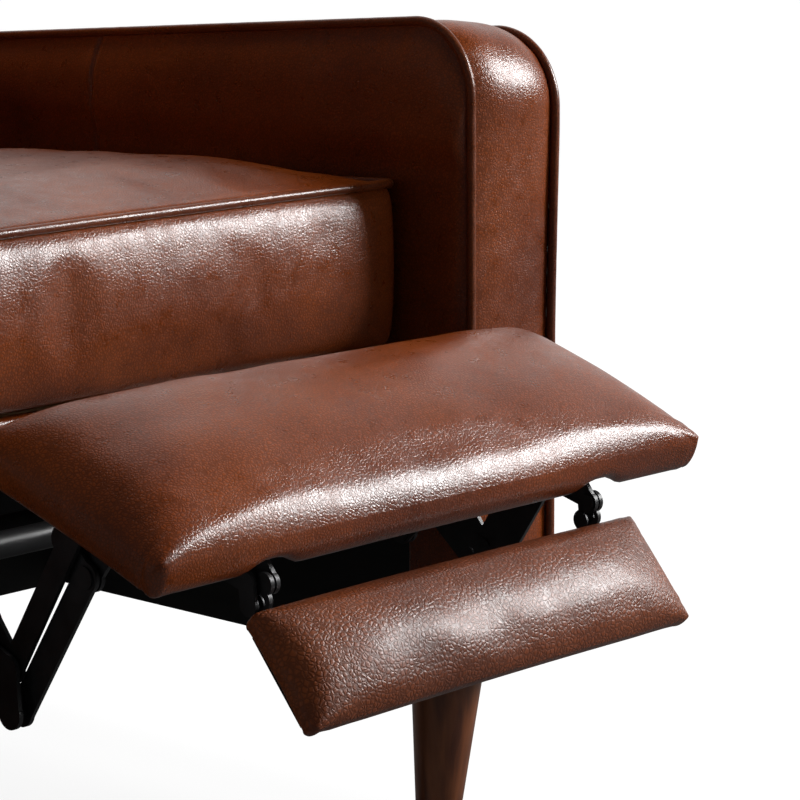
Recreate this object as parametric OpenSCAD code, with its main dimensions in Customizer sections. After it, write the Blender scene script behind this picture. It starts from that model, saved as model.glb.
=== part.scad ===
/* [Body] */
// Clear width between the two arms
seat_gap = 490; // [470:1:520]
// Thickness of one arm
arm_t = 86; // [80:0.5:92]
// Length of an arm from front to back
arm_l = 780; // [760:5:840]
// Height of the arm top at the front, above the floor
arm_h = 596; // [580:2:620]
// Fall of the arm top towards the back, in degrees
arm_fall = 4.1; // [2:0.1:5]
// Radius of the front top corner of an arm
arm_r = 52; // [45:1:60]
// Fall of the arm top towards the outside, in degrees
arm_tilt = 7.5; // [5:0.5:9]
// Radius of the back top corner of an arm
arm_rear_r = 30; // [20:1:45]
// Height of the underside of the body above the floor
body_z = 130; // [120:1:136]
// Diameter of the piping round an arm
welt_d = 7; // [5:0.5:8]
// Foam and leather over the inner face of an arm
lining_t = 4; // [3.5:0.1:4.5]
// Margin between the edge of an arm and its wooden side panel
panel_in = 16; // [14:1:20]
// Height above the floor where the lining of an arm's inner face ends
lining_z = 345; // [335:1:355]
// Thickness of the wooden side panel in an arm
panel_t = 18; // [15:1:22]
// Thickness of the wooden rails across the body
rail_t = 22; // [18:1:26]
// Height of the wooden rails across the body
rail_h = 45; // [38:1:48]
// Distance of the middle rail behind the arm front
mid_rail_y = 440; // [430:1:470]

/* [Legs] */
// Diameter of a leg at the body
leg_top_d = 55; // [46:1:60]
// Diameter of a leg at its foot
leg_foot_d = 32; // [26:1:36]
// Lean of the front legs, in degrees
leg_lean = 4.7; // [0:0.1:6]
// Lean of the back legs, in degrees
leg_rake = 9; // [4:0.5:12]
// Distance of a leg's axis from the inner face of its arm
leg_side = 41.25; // [38:0.25:44]
// Distance of a front leg behind the arm front
leg_front_y = 60.5; // [50:0.5:75]
// Distance of a back leg before the arm's back end
leg_rear_in = 95; // [80:1:120]
// Diameter of the glide under a leg
glide_d = 24; // [18:1:25]
// Thickness of the glide under a leg
glide_t = 4; // [3:0.5:6]

/* [Seat] */
// Room between the seat cushion and an arm
cushion_gap = 7; // [6:0.5:12]
// Length of the seat cushion
cushion_l = 470; // [460:1:472]
// Distance of the cushion front behind the arm front
cushion_y = 60; // [56:1:70]
// Height of the seat cushion at its piping
cushion_h = 118; // [105:1:125]
// Rise of the seat cushion's crown
cushion_crown = 20; // [12:1:22]
// Fall of the seat cushion's top from front to back
cushion_fall = 27; // [15:1:32]
// Height of the wooden seat frame's underside above the floor
frame_z = 325; // [325:1:328]
// Height of the wooden seat frame
frame_h = 37; // [34:1:40]
// Room between the wooden seat frame and an arm
frame_gap = 9; // [8:0.5:11]
// Thickness of the wooden seat rails
seat_rail_t = 30; // [26:1:34]
// Distance of the seat frame's front behind the arm front
frame_y = 84; // [83:1:86]
// Length of the seat frame
frame_l = 520; // [515:1:525]
// Number of seat springs
spring_n = 5; // [4:1:6]
// Number of bends in a seat spring
spring_bends = 14; // [10:2:18]
// Wire diameter of a seat spring
wire_d = 3.8; // [3:0.1:4.2]

/* [Back] */
// Height of the back's hinge above the floor
hinge_z = 400; // [396:1:404]
// Distance of the back's hinge behind the seat frame
hinge_out = 36; // [32:1:42]
// Lean of the back from upright as it stands, in degrees
back_lean = 20; // [18:0.5:22]
// Height of the back above its hinge
back_h = 612; // [560:2:640]
// Thickness of the back cushion
back_pad_t = 88; // [80:1:92]
// Rise of the back cushion's crown
back_crown = 14; // [8:1:16]
// Depth of the wooden back posts
post_d = 40; // [36:1:44]
// Thickness of the padded cover behind the back frame
back_cover_t = 14; // [10:1:18]
// Thickness of that cover at the sides and the top
back_side_t = 4; // [3:0.5:6]

/* [Footrest] */
// Room between the main pad's ends and the arms
pad_gap = 6.2; // [5.5:0.1:12]
// Length of the main pad
pad_l = 158; // [150:1:160]
// Thickness of the main pad at its edge
pad_edge = 25; // [22:1:30]
// Rise of the main pad's crown
pad_crown = 24; // [14:1:26]
// Thickness of the boards under the pads
board_t = 9; // [8:0.5:10]
// Leather lip round the boards
board_lip = 9; // [8:0.5:11]
// Fall of the main pad towards its front, in degrees
pad_tilt = 18.5; // [18.5:0.1:18.8]
// Width of the flipper pad
flip_w = 348.6; // [320:0.2:352]
// Length of the flipper pad
flip_l = 77; // [70:1:80]
// Thickness of the flipper pad at its edge
flip_edge = 20; // [18:0.5:22]
// Rise of the flipper pad's crown
flip_crown = 3; // [1:0.5:4]

/* [Mechanism] */
// Thickness of the steel links and plates
steel_t = 3; // [2.5:0.1:3.2]
// Side gap between two links
side_gap = 1.5; // [1.3:0.1:1.7]
// Width of the footrest links
link_w = 18; // [16:0.5:19]
// Width of the swing links
swing_w = 30; // [26:1:32]
// Length of the swing links between their pivots
swing_l = 95; // [94:1:96]
// Angle of the swing links as they stand, in degrees
swing_a = 26; // [25:0.5:27]
// Diameter of the rivets of the footrest links
pin_d = 8; // [7:0.5:8.5]
// Diameter of the swing links' pins
swing_pin_d = 12; // [10:0.5:13]
// Running clearance of a pin in its hole, on the radius
pin_gap = 0.06; // [0.04:0.01:0.1]
// Clearance at a pivot that closes a loop, on the radius
loop_gap = 0.3; // [0.25:0.01:0.4]
// Outer diameter of the cross tubes
tube_d = 22; // [19:0.5:24]
// Outer diameter of the drive tube between the rear links
torque_d = 18; // [16:0.5:19]
// Wall of the tubes
tube_wall = 2; // [1.5:0.1:2.5]
// Room between the steel seat rails' inner face and an arm
plate_gap = 27; // [26:0.5:28]
// Distance of the flipper's hinge plates from the middle, to their inner face
hinge_x = 146; // [142:0.5:148]

/* [Hidden] */
$fn = 48;
e = 0.5;
arm_in = seat_gap / 2;
arm_out = arm_in + arm_t;
cushion_w = seat_gap - 2 * cushion_gap;
frame_w = seat_gap - 2 * frame_gap;
pad_w = seat_gap - 2 * pad_gap;
plate_x = arm_in - plate_gap;
frame_back = frame_y + frame_l;
hinge_y = frame_back + hinge_out;
panel_x = arm_in + lining_t;
top_slope = tan(arm_fall);
// Levels of the links, measured from the middle outwards
l1 = plate_x - side_gap - steel_t;
l2 = l1 - side_gap - steel_t;
l3 = l2 - side_gap - steel_t;
l4 = l3 - side_gap - steel_t;
h1 = hinge_x - side_gap - steel_t;
h2 = hinge_x + steel_t + side_gap;
head_t = 1.2;
swing_x = arm_in - 0.2 - head_t - 0.3 - steel_t;
// Pivots of the footrest links: distance behind the arm front, and height
B = [110, 310];
A = B + [76, 0];
M = [-40, 240];
N = M + (A - B);
L = [-41.9, 212.9];
tip = [-192, 319];
function pad_point(u, v) = tip + u * [cos(pad_tilt), sin(pad_tilt)] + v * [sin(pad_tilt), -cos(pad_tilt)];
P = pad_point(91.9, 9.1);
Q = pad_point(81.1, 43);
H = [-187.5, 303.7];
G = [-179.5, 290.2];
K = [-81.5, 323.4];
slot_a = 150.3;
slot_run = 7.3;
E = A + 42.8 * [cos(228.7), sin(228.7)];
// Back top edge of the flipper and its fall
flip_top = [-204.5, 296];
flip_fall = 50.1;
// Lower pivots of the swing links, then the upper ones
SF = [frame_back - 274, 215];
SR = [frame_back - 29, 215];
swing_v = swing_l * [-sin(swing_a), cos(swing_a)];
UF = SF + swing_v;
UR = SR + swing_v;
base_tube_p = [SF[0] + 68, 258];
mid_y = (hinge_y + back_h * sin(back_lean) + (post_d / 2 + back_cover_t) * cos(back_lean) - 258) / 2;

module place() { translate([0, -mid_y, 0]) children(); }
module yz(x, t) { translate([x, 0, 0]) rotate([90, 0, 90]) linear_extrude(t) children(); }
module both() { children(); mirror([1, 0, 0]) children(); }
// A flat bar between two pivots, with an eye a little wider than the bar round each
module bar(a, b, w, eye = 1) {
    d = b - a;
    translate(a) circle(d = w + eye);
    translate(b) circle(d = w + eye);
    translate(a) rotate(atan2(d[1], d[0])) translate([0, -w / 2]) square([norm(d), w]);
}
module slot(a, b, w) { bar(a, b, w, 0.2); }
module pin(p, x, t, d) { translate([x, p[0], p[1]]) rotate([0, 90, 0]) cylinder(h = t, d = d); }
module hole(p, d) { translate(p) circle(d = d); }

// Outline of a cushion: a rectangle with round corners whose sides draw in
function corner(cx, cy, r, a0) = [for (i = [0:3]) [cx + r * cos(a0 + i * 30), cy + r * sin(a0 + i * 30)]];
function side(p, q, n) = [for (i = [1:n]) p + (q - p) * i / (n + 1)];
function outline(a, b, r, n, pull) = let (
    raw = concat(corner(a - r, b - r, r, 0), side([a - r, b], [r - a, b], n),
        corner(r - a, b - r, r, 90), side([-a, b - r], [-a, r - b], n),
        corner(r - a, r - b, r, 180), side([r - a, -b], [a - r, -b], n),
        corner(a - r, r - b, r, 270), side([a, r - b], [a, b - r], n)))
    [for (p = raw) let (u = p[0] / a, v = p[1] / b)
        [p[0] - pull * u * pow(abs(u), 5) * (1 - v * v), p[1] - pull * v * pow(abs(v), 5) * (1 - u * u)]];
// A cushion with a flat underside: rings give height and inset of the sides, then the crown
module cushion(w, l, h, crown, r, round, pull, bulge, piping = 0, n = 5, fall = 0) {
    a = w / 2;
    b = l / 2;
    sides = concat([[0, round * 0.7], [round * 0.3, round * 0.2], [round, 0], [h / 2, -bulge]],
        piping > 0 ? [[h - piping, 0.3 * piping], [h - piping * 0.6, -0.3 * piping], [h, 0], [h + piping * 0.2, piping * 0.6]]
            : [[h - round, 0], [h - round * 0.3, round * 0.3], [h, round]]);
    top_in = piping > 0 ? piping * 0.6 : round;
    steps = [0.12, 0.3, 0.52, 0.75];
    rings = concat([for (s = sides) [for (p = outline(a - s[1], b - s[1], r, n, pull)) [p[0], p[1], s[0]]]],
        [for (f = steps) [for (p = outline(a - top_in, b - top_in, r, n, pull)) let (q = p * (1 - f))
            [q[0], q[1], h + crown * (1 - pow(q[0] / a, 4)) * (1 - pow(q[1] / b, 4)) * (1 - pow(1 - f, 6))]]]);
    m = len(rings[0]);
    k = len(rings);
    raw = concat([for (g = rings) each g], [[0, 0, 0], [0, 0, h + crown]]);
    pts = [for (p = raw) [p[0], p[1], p[2] * (1 - fall / h * (p[1] + b) / l)]];
    polyhedron(points = pts, faces = concat(
        [for (j = [0:k - 2]) for (i = [0:m - 1]) [j * m + i, (j + 1) * m + i, (j + 1) * m + (i + 1) % m]],
        [for (j = [0:k - 2]) for (i = [0:m - 1]) [j * m + i, (j + 1) * m + (i + 1) % m, j * m + (i + 1) % m]],
        [for (i = [0:m - 1]) [m * k, i, (i + 1) % m]],
        [for (i = [0:m - 1]) [(k - 1) * m + i, m * k + 1, (k - 1) * m + (i + 1) % m]]));
}

// Side outline of an arm, drawn in by a margin
arm_n = [sin(arm_fall), cos(arm_fall)];
arm_cf = [arm_r, arm_h - arm_r * top_slope - arm_r / cos(arm_fall)];
arm_cr = [arm_l - arm_rear_r, arm_h - (arm_l - arm_rear_r) * top_slope - arm_rear_r / cos(arm_fall)];
module arm_corner(c, r, s) {
    difference() {
        polygon([c, c + [s * (r + 30), 0], c + [s * (r + 30), r + 60], c + (r + 60) * arm_n]);
        translate(c) circle(r = r, $fn = 96);
    }
}
module arm_side(g) {
    difference() {
        polygon([[g, body_z], [g, arm_h - g * top_slope - g / cos(arm_fall)],
            [arm_l - g, arm_h - (arm_l - g) * top_slope - g / cos(arm_fall)], [arm_l - g, body_z]]);
        arm_corner(arm_cf, arm_r - g, -1);
        arm_corner(arm_cr, arm_rear_r - g, 1);
    }
}
// The arm's outline is carried outwards along a falling line, then cut upright at both faces
module arm_form(g, x0, t) {
    intersection() {
        translate([arm_in, 0, arm_h]) rotate([0, arm_tilt, 0]) translate([-40, 0, -arm_h]) yz(0, arm_t + 90) arm_side(g);
        translate([x0, 0, body_z]) cube([t, arm_l, arm_h]);
    }
}
// Piping round an arm: up the front, over the corner, back along the top and down the back
function arc(c, r, a0, a1, n) = [for (i = [0:n]) c + r * [cos(a0 + (a1 - a0) * i / n), sin(a0 + (a1 - a0) * i / n)]];
function arm_path(x) = let (raw = concat([[0, body_z]], arc(arm_cf, arm_r, 180, 90 - arm_fall, 14),
    arc(arm_cr, arm_rear_r, 90 - arm_fall, 0, 8), [[arm_l, body_z]]))
    [for (p = raw) [p[0], p[1] == body_z ? body_z : arm_h + (p[1] - arm_h) / cos(arm_tilt) - (x - arm_in) * tan(arm_tilt)]];
module tube(x, path, d, m = 8) {
    n = len(path);
    pts = [for (i = [0:n - 1]) let (t = path[min(i + 1, n - 1)] - path[max(i - 1, 0)], u = [-t[1], t[0]] / norm(t))
        for (j = [0:m - 1]) let (a = 360 * (j + 0.5) / m)
            [x + d / 2 * sin(a), path[i][0] + u[0] * d / 2 * cos(a), path[i][1] + u[1] * d / 2 * cos(a)]];
    polyhedron(points = pts, faces = concat(
        [for (i = [0:n - 2]) for (j = [0:m - 1]) [i * m + j, i * m + (j + 1) % m, (i + 1) * m + (j + 1) % m]],
        [for (i = [0:n - 2]) for (j = [0:m - 1]) [i * m + j, (i + 1) * m + (j + 1) % m, (i + 1) * m + j]],
        [[for (j = [m - 1:-1:0]) j]], [[for (j = [0:m - 1]) (n - 1) * m + j]]));
}
module arm_piping() {
    color("maroon") place() for (x = [arm_in + welt_d / 2 - 1.2, arm_out - welt_d / 2 + 1.2])
        tube(x, arm_path(x), welt_d);
}
module arm_cover() {
    color("saddlebrown") place() difference() {
        arm_form(welt_d / 2, arm_in, arm_t);
        yz(panel_x, panel_t) arm_pocket();
        translate([arm_in - e, 60, body_z - e]) cube([e + lining_t, arm_l - 120, lining_z - body_z + e]);
    }
}
// The panel's place in the arm, open below
module arm_pocket() {
    arm_side(panel_in);
    translate([panel_in, body_z - e]) square([arm_l - 2 * panel_in, 2 * e]);
}
module arm_panel() {
    color("burlywood") place() yz(panel_x, panel_t) difference() {
        arm_side(panel_in);
        for (i = [0:5]) translate([110 + i * (arm_l - 220) / 5, 430]) circle(d = 70);
        for (y = [170, arm_l - 140]) translate([y, 235]) circle(d = 70);
    }
}
module cross_rail(y) { translate([-panel_x, y, body_z]) cube([2 * panel_x, rail_t, rail_h]); }
module cross_rails() {
    color("burlywood") place() {
        cross_rail(mid_rail_y);
        cross_rail(arm_l - 60 - rail_t);
    }
}
module leg(x, y, lean) {
    color("sienna") place() intersection() {
        translate([x, y, body_z]) rotate([lean, 0, 0]) rotate_extrude()
            polygon([[0, 20], [leg_top_d / 2 + 1, 20], [leg_top_d / 2, -4], [leg_foot_d / 2, -body_z],
                [leg_foot_d / 2 - 0.4, -body_z - 12], [0, -body_z - 12]]);
        translate([x - 80, y - 80, glide_t]) cube([160, 160, body_z - glide_t]);
    }
}
leg_x = arm_in + leg_side;
leg_rear_y = arm_l - leg_rear_in;
function foot_y(y, lean) = y + body_z * tan(lean);
module glides() {
    color("dimgray") place() for (s = [-1, 1]) {
        translate([s * leg_x, foot_y(leg_front_y, leg_lean), 0]) cylinder(h = glide_t, d = glide_d);
        translate([s * leg_x, foot_y(leg_rear_y, leg_rake), 0]) cylinder(h = glide_t, d = glide_d);
    }
}

// Fixed plates of the mechanism, with the arm that guides the drive pin
bolt_y = [SF[0] + 15, SF[0] + 125];
module base_plate() {
    color("dimgray") place() yz(panel_x - steel_t, steel_t) difference() {
        union() {
            bar(UF, UR, swing_w);
            bar([base_tube_p[0], UF[1]], base_tube_p, 36);
        }
        for (p = [UF, UR]) hole(p, swing_pin_d);
        for (y = bolt_y) hole([y, UF[1]], 8);
        hole([SF[0] + 70, UF[1]], 16);
    }
}
module base_bolts() {
    color("silver") place() both() for (y = bolt_y) {
        pin([y, UF[1]], panel_x - steel_t, steel_t, 8);
        translate([panel_x - steel_t - 3.5, y, UF[1]]) rotate([0, 90, 0]) cylinder(h = 3.5, d = 14, $fn = 6);
    }
}
module base_tube() {
    w = panel_x - steel_t;
    color("dimgray") place() difference() {
        pin(base_tube_p, -w, 2 * w, tube_d);
        pin(base_tube_p, -w - e, 2 * w + 2 * e, tube_d - 2 * tube_wall);
    }
}
// Arms welded to the tube; the rear links' drive pins run up and down in their slots
slot_top = [157.9, 277.9];
slot_low = [158.3, 258.4];
slot_gap = 0.8;
module drive_arms() {
    color("dimgray") place() both() yz(l2, steel_t) difference() {
        union() {
            bar((slot_top + slot_low) / 2 + [0, -1], base_tube_p, 26);
            bar(slot_top, slot_low, 24);
            translate(base_tube_p) circle(d = tube_d + 10);
        }
        slot(slot_top, slot_low, pin_d + 2 * slot_gap);
        hole(base_tube_p, tube_d);
    }
}
module swing_pins() {
    color("silver") place() both() for (p = [UF, UR]) {
        pin(p, swing_x - 1.5, panel_x - swing_x + 1.5, swing_pin_d);
        pin(p, swing_x - 2.6, 1.6, swing_pin_d + 6);
        pin(p, swing_x + steel_t + 0.2, panel_x - 2 * steel_t - swing_x - 0.2, swing_pin_d + 6);
    }
}
module swing_link(u, s) {
    color("black") place() both() yz(swing_x, steel_t) difference() {
        bar(u, s, swing_w);
        hole(u, swing_pin_d + 2 * pin_gap);
        hole(s, swing_pin_d + 2 * pin_gap);
        hole((u + s) / 2, 12);
    }
}

// Steel rails under the seat, with legs down to the seat's cross tubes
module seat_rail() {
    color("dimgray") place() {
        yz(plate_x, steel_t) difference() {
            union() {
                translate([B[0] - 9, frame_z - 26]) square([frame_back - B[0] + 9, 26]);
                bar(B, A, 24);
                bar([SF[0], frame_z - 16], SF, 34);
                bar([SR[0], frame_z - 16], SR, 34);
            }
            for (p = [A, B]) hole(p, pin_d);
            for (p = [SF, SR]) hole(p, tube_d);
            for (i = [0:3]) hole([SF[0] + 65 + i * 30, frame_z - 14], 9);
            translate([frame_y, frame_z]) square([frame_l, 60]);
        }
        translate([plate_x, frame_y + 16, frame_z - steel_t])
            cube([frame_w / 2 - plate_x, frame_l - 16, steel_t]);
    }
}
module seat_tubes() {
    color("dimgray") place() for (p = [SF, SR]) {
        w = swing_x - side_gap;
        difference() {
            pin(p, -w, 2 * w, tube_d);
            pin(p, -w + 4, 2 * w - 8, tube_d - 2 * tube_wall);
        }
        both() {
            pin(p, w - e, side_gap + steel_t + 0.3 + e, swing_pin_d);
            pin(p, swing_x + steel_t + 0.3, head_t, swing_pin_d + 5);
        }
    }
}
module seat_side_rails() {
    color("burlywood") place() both()
        translate([frame_w / 2 - seat_rail_t, frame_y, frame_z]) cube([seat_rail_t, frame_l, frame_h]);
}
// The back rail is shorter, to leave room for the back's hinge plates
module seat_cross_rails() {
    w = frame_w / 2 - seat_rail_t;
    color("burlywood") place() {
        translate([-w, frame_y, frame_z]) cube([2 * w, rail_t, frame_h]);
        translate([steel_t - w, frame_back - rail_t, frame_z]) cube([2 * (w - steel_t), rail_t, frame_h]);
    }
}
// One sinuous spring: half circles joined by straight runs, hooked into clips at both ends
spring_span = frame_l - 2 * rail_t;
spring_step = spring_span / spring_bends;
spring_half = 19;
spring_z = frame_z + frame_h - wire_d / 2 - 6;
module spring(x) {
    r = spring_step / 2;
    translate([x, frame_y + rail_t, spring_z]) {
        for (i = [0:spring_bends - 2]) translate([(i % 2 == 0 ? 1 : -1) * spring_half, (i + 1) * spring_step, 0])
            rotate([0, 0, i % 2 == 0 ? -90 : 90]) rotate_extrude(angle = 180, $fn = 24)
                translate([r, 0]) circle(d = wire_d, $fn = 16);
        for (i = [0:spring_bends - 1]) translate([-spring_half, (i + 0.5) * spring_step, 0])
            rotate([0, 90, 0]) cylinder(h = 2 * spring_half, d = wire_d, $fn = 16);
    }
}
spring_x = [for (i = [0:spring_n - 1]) (i - (spring_n - 1) / 2) * (frame_w - 2 * seat_rail_t) / spring_n];
module seat_springs() { color("silver") place() for (x = spring_x) spring(x); }
// Clips that hold the springs' ends to the front and back rails
module spring_clips() {
    t = wire_d / 2 + 2;
    color("dimgray") place() for (x = spring_x) for (s = [0, 1])
        translate([x - 12, s == 0 ? frame_y + rail_t : frame_y + rail_t + spring_span, spring_z]) mirror([0, s, 0])
            difference() {
                translate([0, 0, -t]) cube([24, spring_step / 2 + t, 2 * t]);
                translate([-e, spring_step / 2, 0]) rotate([0, 90, 0]) cylinder(h = 25, d = wire_d + 0.4, $fn = 24);
            }
}
module seat_border() {
    color("saddlebrown") place() difference() {
        translate([-frame_w / 2, frame_y - 14, frame_z + 1]) cube([frame_w, 14, frame_h - 1.5]);
        translate([-frame_w / 2 - e, frame_y - 14, frame_z + 1]) rotate([45, 0, 0]) translate([0, -3, -3])
            cube([frame_w + 2 * e, 6, 6]);
    }
}
module seat_cushion() {
    color("saddlebrown") place() translate([0, cushion_y + cushion_l / 2, frame_z + frame_h + 0.3])
        cushion(cushion_w, cushion_l, cushion_h, cushion_crown, 16, 14, 3, 1.5, 7, 6, cushion_fall);
}
// Rivets that hold the two upper links to the steel seat rails
module link_pins() {
    color("silver") place() both() for (p = [A, B]) {
        pin(p, l1 - 0.2, plate_x + steel_t - l1 + 1.3, pin_d);
        pin(p, l1 - 1.3, 1.2, pin_d + 6);
        pin(p, plate_x + steel_t, 1.1, pin_d + 6);
    }
}

// Everything on the back is drawn about its hinge: across, backwards, upwards
module at_back() { place() translate([0, hinge_y, hinge_z]) rotate([-back_lean, 0, 0]) children(); }
post_out = frame_w / 2 - back_side_t;
hinge_plate_x = frame_w / 2 - seat_rail_t - steel_t;
post_in = hinge_plate_x + steel_t + side_gap;
back_pin_d = 12;
back_pin_l = 14;
module back_posts() {
    color("burlywood") at_back() both() difference() {
        translate([post_in, -post_d / 2, -28]) cube([post_out - post_in, post_d, back_h]);
        translate([post_in - e, 0, 0]) rotate([0, 90, 0]) cylinder(h = back_pin_l + 1 + e, d = back_pin_d + 2 * pin_gap);
    }
}
rail_b = [40, 200, 390, back_h - 30 - 60];
module back_rails() {
    color("burlywood") at_back() for (b = rail_b)
        translate([-post_in, -post_d / 2, b]) cube([2 * post_in, rail_t, 60]);
}
module back_webbing() {
    color("dimgray") at_back() for (b = [110, 148, 270, 320, 460, 495])
        translate([-post_out + 4, -post_d / 2 - 1.6, b]) cube([2 * post_out - 8, 1.6, 30]);
}
module back_cushion() {
    color("saddlebrown") at_back() translate([0, -post_d / 2 - 2, back_h / 2 + 6]) rotate([90, 0, 0])
        cushion(cushion_w, back_h - 12, back_pad_t, back_crown, 30, 16, 4, 2, 7, 6);
}
// The cover wraps the frame's back, sides and top, with its long edges rounded
module back_cover() {
    r = 12;
    h = back_h + 22;
    color("saddlebrown") at_back() difference() {
        translate([0, 0, -28]) linear_extrude(h) union() {
            translate([-frame_w / 2, -post_d / 2]) square([frame_w, post_d + back_cover_t - r]);
            translate([r - frame_w / 2, 0]) square([frame_w - 2 * r, post_d / 2 + back_cover_t]);
            for (s = [-1, 1]) translate([s * (frame_w / 2 - r), post_d / 2 + back_cover_t - r]) circle(r = r);
        }
        translate([-post_out, -post_d / 2 - e, -28 - e]) cube([2 * post_out, post_d + e, h - 10 + e]);
    }
}
module back_hinges() {
    color("dimgray") place() both() {
        yz(hinge_plate_x, steel_t) {
            bar([frame_back - 20, frame_z + 14], [hinge_y, hinge_z], 28);
            bar([frame_back - 70, frame_z + 14], [frame_back - 20, frame_z + 14], 28);
        }
        pin([hinge_y, hinge_z], hinge_plate_x - 2, post_in + back_pin_l - hinge_plate_x + 2, back_pin_d);
        pin([hinge_y, hinge_z], hinge_plate_x - 3, 3.2, back_pin_d + 8);
        pin([hinge_y, hinge_z], hinge_plate_x + steel_t - 0.2, side_gap, back_pin_d + 8);
    }
}

module rear_links() {
    color("black") place() both() {
        yz(l1, steel_t) difference() {
            union() {
                bar(A, N, link_w);
                bar(A, E, link_w);
                bar(E, A + 0.5 * (N - A), link_w - 5);
                translate(torque_p) circle(d = torque_d + 10);
            }
            hole(A, pin_d + 2 * pin_gap);
            hole(torque_p, torque_d);
        }
        pin(E, l2 - 0.2, l1 - l2 + 0.2 + steel_t, pin_d);
        pin(N, l2 - 0.2, l1 - l2 + 0.2 + steel_t, pin_d);
        pin(N, l2 - 1.3, 1.2, pin_d + 6);
        pin(E, l2 - 1.3, 1.2, pin_d + 7);
    }
}
torque_p = A + 90 * (N - A) / norm(N - A);
module torque_tube() {
    color("dimgray") place() difference() {
        pin(torque_p, -l1 - steel_t, 2 * l1 + 2 * steel_t, torque_d);
        pin(torque_p, -l1 - steel_t - e, 2 * l1 + 2 * steel_t + 2 * e, torque_d - 2 * tube_wall);
    }
}
module front_links() {
    color("black") place() both() {
        yz(l1, steel_t) difference() {
            union() {
                bar(B, M, link_w);
                bar(M, L, link_w);
                bar(L, B + 0.55 * (M - B), link_w - 5);
            }
            hole(B, pin_d + 2 * pin_gap);
        }
        pin(M, l2 - 0.2, l1 - l2 + 0.2 + steel_t, pin_d);
        pin(M, l2 - 1.3, 1.2, pin_d + 6);
        pin(L, l3 - 0.2, l1 - l3 + 0.2 + steel_t, pin_d);
        pin(L, l3 - 1.3, 1.2, pin_d + 6);
    }
}
// The tail of the upper link arches over the lower link's rivet
arch = [M + [20, 25], M + [48, 25]];
module upper_links() {
    color("black") place() both() {
        yz(l2, steel_t) difference() {
            union() {
                bar(M, P, link_w - 2);
                bar(M, arch[0], link_w);
                bar(arch[0], arch[1], link_w);
                bar(arch[1], N, link_w);
            }
            hole(M, pin_d + 2 * pin_gap);
            hole(P, pin_d + 2 * pin_gap);
            hole(N, pin_d + 2 * loop_gap);
        }
    }
}
module lower_links() {
    color("black") place() both() {
        yz(l3, steel_t) difference() {
            union() {
                bar(L, Q, link_w);
                bar(Q, K, link_w - 2);
            }
            hole(L, pin_d + 2 * pin_gap);
            hole(Q, pin_d + 2 * loop_gap);
        }
        pin(K, h2 - 0.2, l3 - h2 + 0.2 + steel_t, pin_d);
        pin(K, h2 - 1.3, 1.2, pin_d + 6);
        pin(K, h2 + steel_t + 0.3, 4, pin_d + 5);
    }
}
slot_v = slot_run * [cos(slot_a), sin(slot_a)];
// The link is cranked so that the folded flipper can lie against it
link_dir = (K - G) / norm(K - G);
link_up = [-link_dir[1], link_dir[0]];
crank_g = G + 5.9 * link_dir + 12.3 * link_up;
crank_k = K - 5.8 * link_dir + 6.8 * link_up;
hinge_pin_d = pin_d - 1;
module flipper_links() {
    w = hinge_pin_d + 5;
    color("black") place() both() {
        yz(h2, steel_t) difference() {
            union() {
                bar(G, crank_g, w);
                bar(crank_g, crank_k, w);
                bar(crank_k, K, w + 2);
            }
            hole(K, pin_d + 2 * pin_gap);
        }
        pin(G, hinge_x - 0.2, h2 - hinge_x + 0.2 + steel_t, hinge_pin_d);
        pin(G, hinge_x - 1.3, 1.2, hinge_pin_d + 4);
    }
}

// The main pad is drawn from its front edge: across, backwards, upwards
module at_pad() { place() translate([0, tip[0], tip[1]]) rotate([pad_tilt, 0, 0]) children(); }
module board(w, l) { translate([-w / 2 + board_lip, board_lip, 0]) cube([w - 2 * board_lip, l - 2 * board_lip, board_t]); }
// Notches in the board give room to the flipper's brackets when it is folded
module notches() {
    both() translate([hinge_x - side_gap + 0.5, 3, -e]) cube([h2 + steel_t + 1 - hinge_x + side_gap, 27, board_t + e]);
}
module footrest_board() {
    color("burlywood") at_pad() difference() {
        board(pad_w, pad_l);
        translate([0, 0, e]) notches();
        notches();
    }
}
module footrest_pad() {
    color("saddlebrown") at_pad() difference() {
        translate([0, pad_l / 2, 0]) cushion(pad_w, pad_l, pad_edge, pad_crown, 22, 11, 3, 1, 0, 6);
        translate([0, 0, -e]) board_cut(pad_w, pad_l);
        notches();
    }
}
module board_cut(w, l) {
    translate([-w / 2 + board_lip, board_lip, 0]) cube([w - 2 * board_lip, l - 2 * board_lip, board_t + e]);
}
function uv(p, o, a) = let (d = p - o) [d * [cos(a), sin(a)], d * [-sin(a), cos(a)]];
Pu = uv(P, tip, pad_tilt);
Qu = uv(Q, tip, pad_tilt);
Hu = uv(H, tip, pad_tilt);
module footrest_brackets() {
    color("black") at_pad() both() {
        yz(l4, steel_t) difference() {
            union() {
                translate([60, -20]) square([60, 20]);
                bar(Pu + [0, -2], Qu, link_w);
                bar([70, -12], Qu, link_w - 4);
            }
            hole([108, -11], 7);
        }
        translate([l4 - 24, 30, -steel_t]) cube([24 + steel_t, pad_l - 44, steel_t]);
        pin(Pu, l4, l2 - l4 + steel_t + 0.2, pin_d);
        pin(Pu, l2 + steel_t + 0.1, 1.2, pin_d + 6);
        pin(Qu, l4, l3 - l4 + steel_t + 0.2, pin_d);
        pin(Qu, l3 + steel_t + 0.1, 1.2, pin_d + 6);
    }
}
module hinge_brackets() {
    color("black") at_pad() both() {
        yz(h1, steel_t) difference() {
            union() {
                bar(Hu, [12, -7.2], 13);
                translate([12, -11]) square([60, 11]);
            }
            hole(Hu, hinge_pin_d + 2 * pin_gap);
        }
        translate([h1 - 22, 14, -steel_t]) cube([22 + steel_t, 58, steel_t]);
    }
}

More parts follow.
